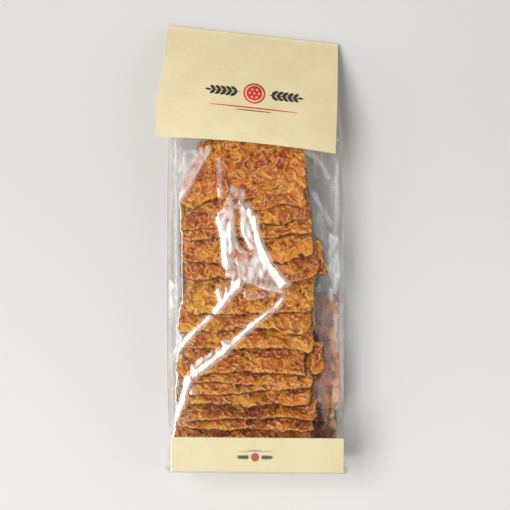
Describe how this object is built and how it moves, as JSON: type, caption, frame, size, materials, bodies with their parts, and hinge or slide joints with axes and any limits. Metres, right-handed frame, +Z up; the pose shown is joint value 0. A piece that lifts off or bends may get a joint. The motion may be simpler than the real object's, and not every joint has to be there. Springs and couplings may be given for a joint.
{
  "type": "bag of cheese crackers",
  "caption": "Clear film bag of cheese crackers laid over one another like shingles, with a card over its mouth and a card channel round its bottom, lying on its back.",
  "frame": {"origin": "middle of the pack's footprint, on the surface that it lies on", "axes": "+Y from the base card towards the header card, along the bag; +Z up, out of the shown side; +X to the right, seen from above"},
  "size_m": [0.133, 0.304, 0.05],
  "materials": {
    "card": "matt, cream, printed",
    "film": "clear glossy film with the crackers showing through",
    "cracker": "baked dough under browned grated cheese"
  },
  "bodies": {
    "root": {"bag": "film", "header_card": "card", "base_card": "card"}
  },
  "joints": []
}
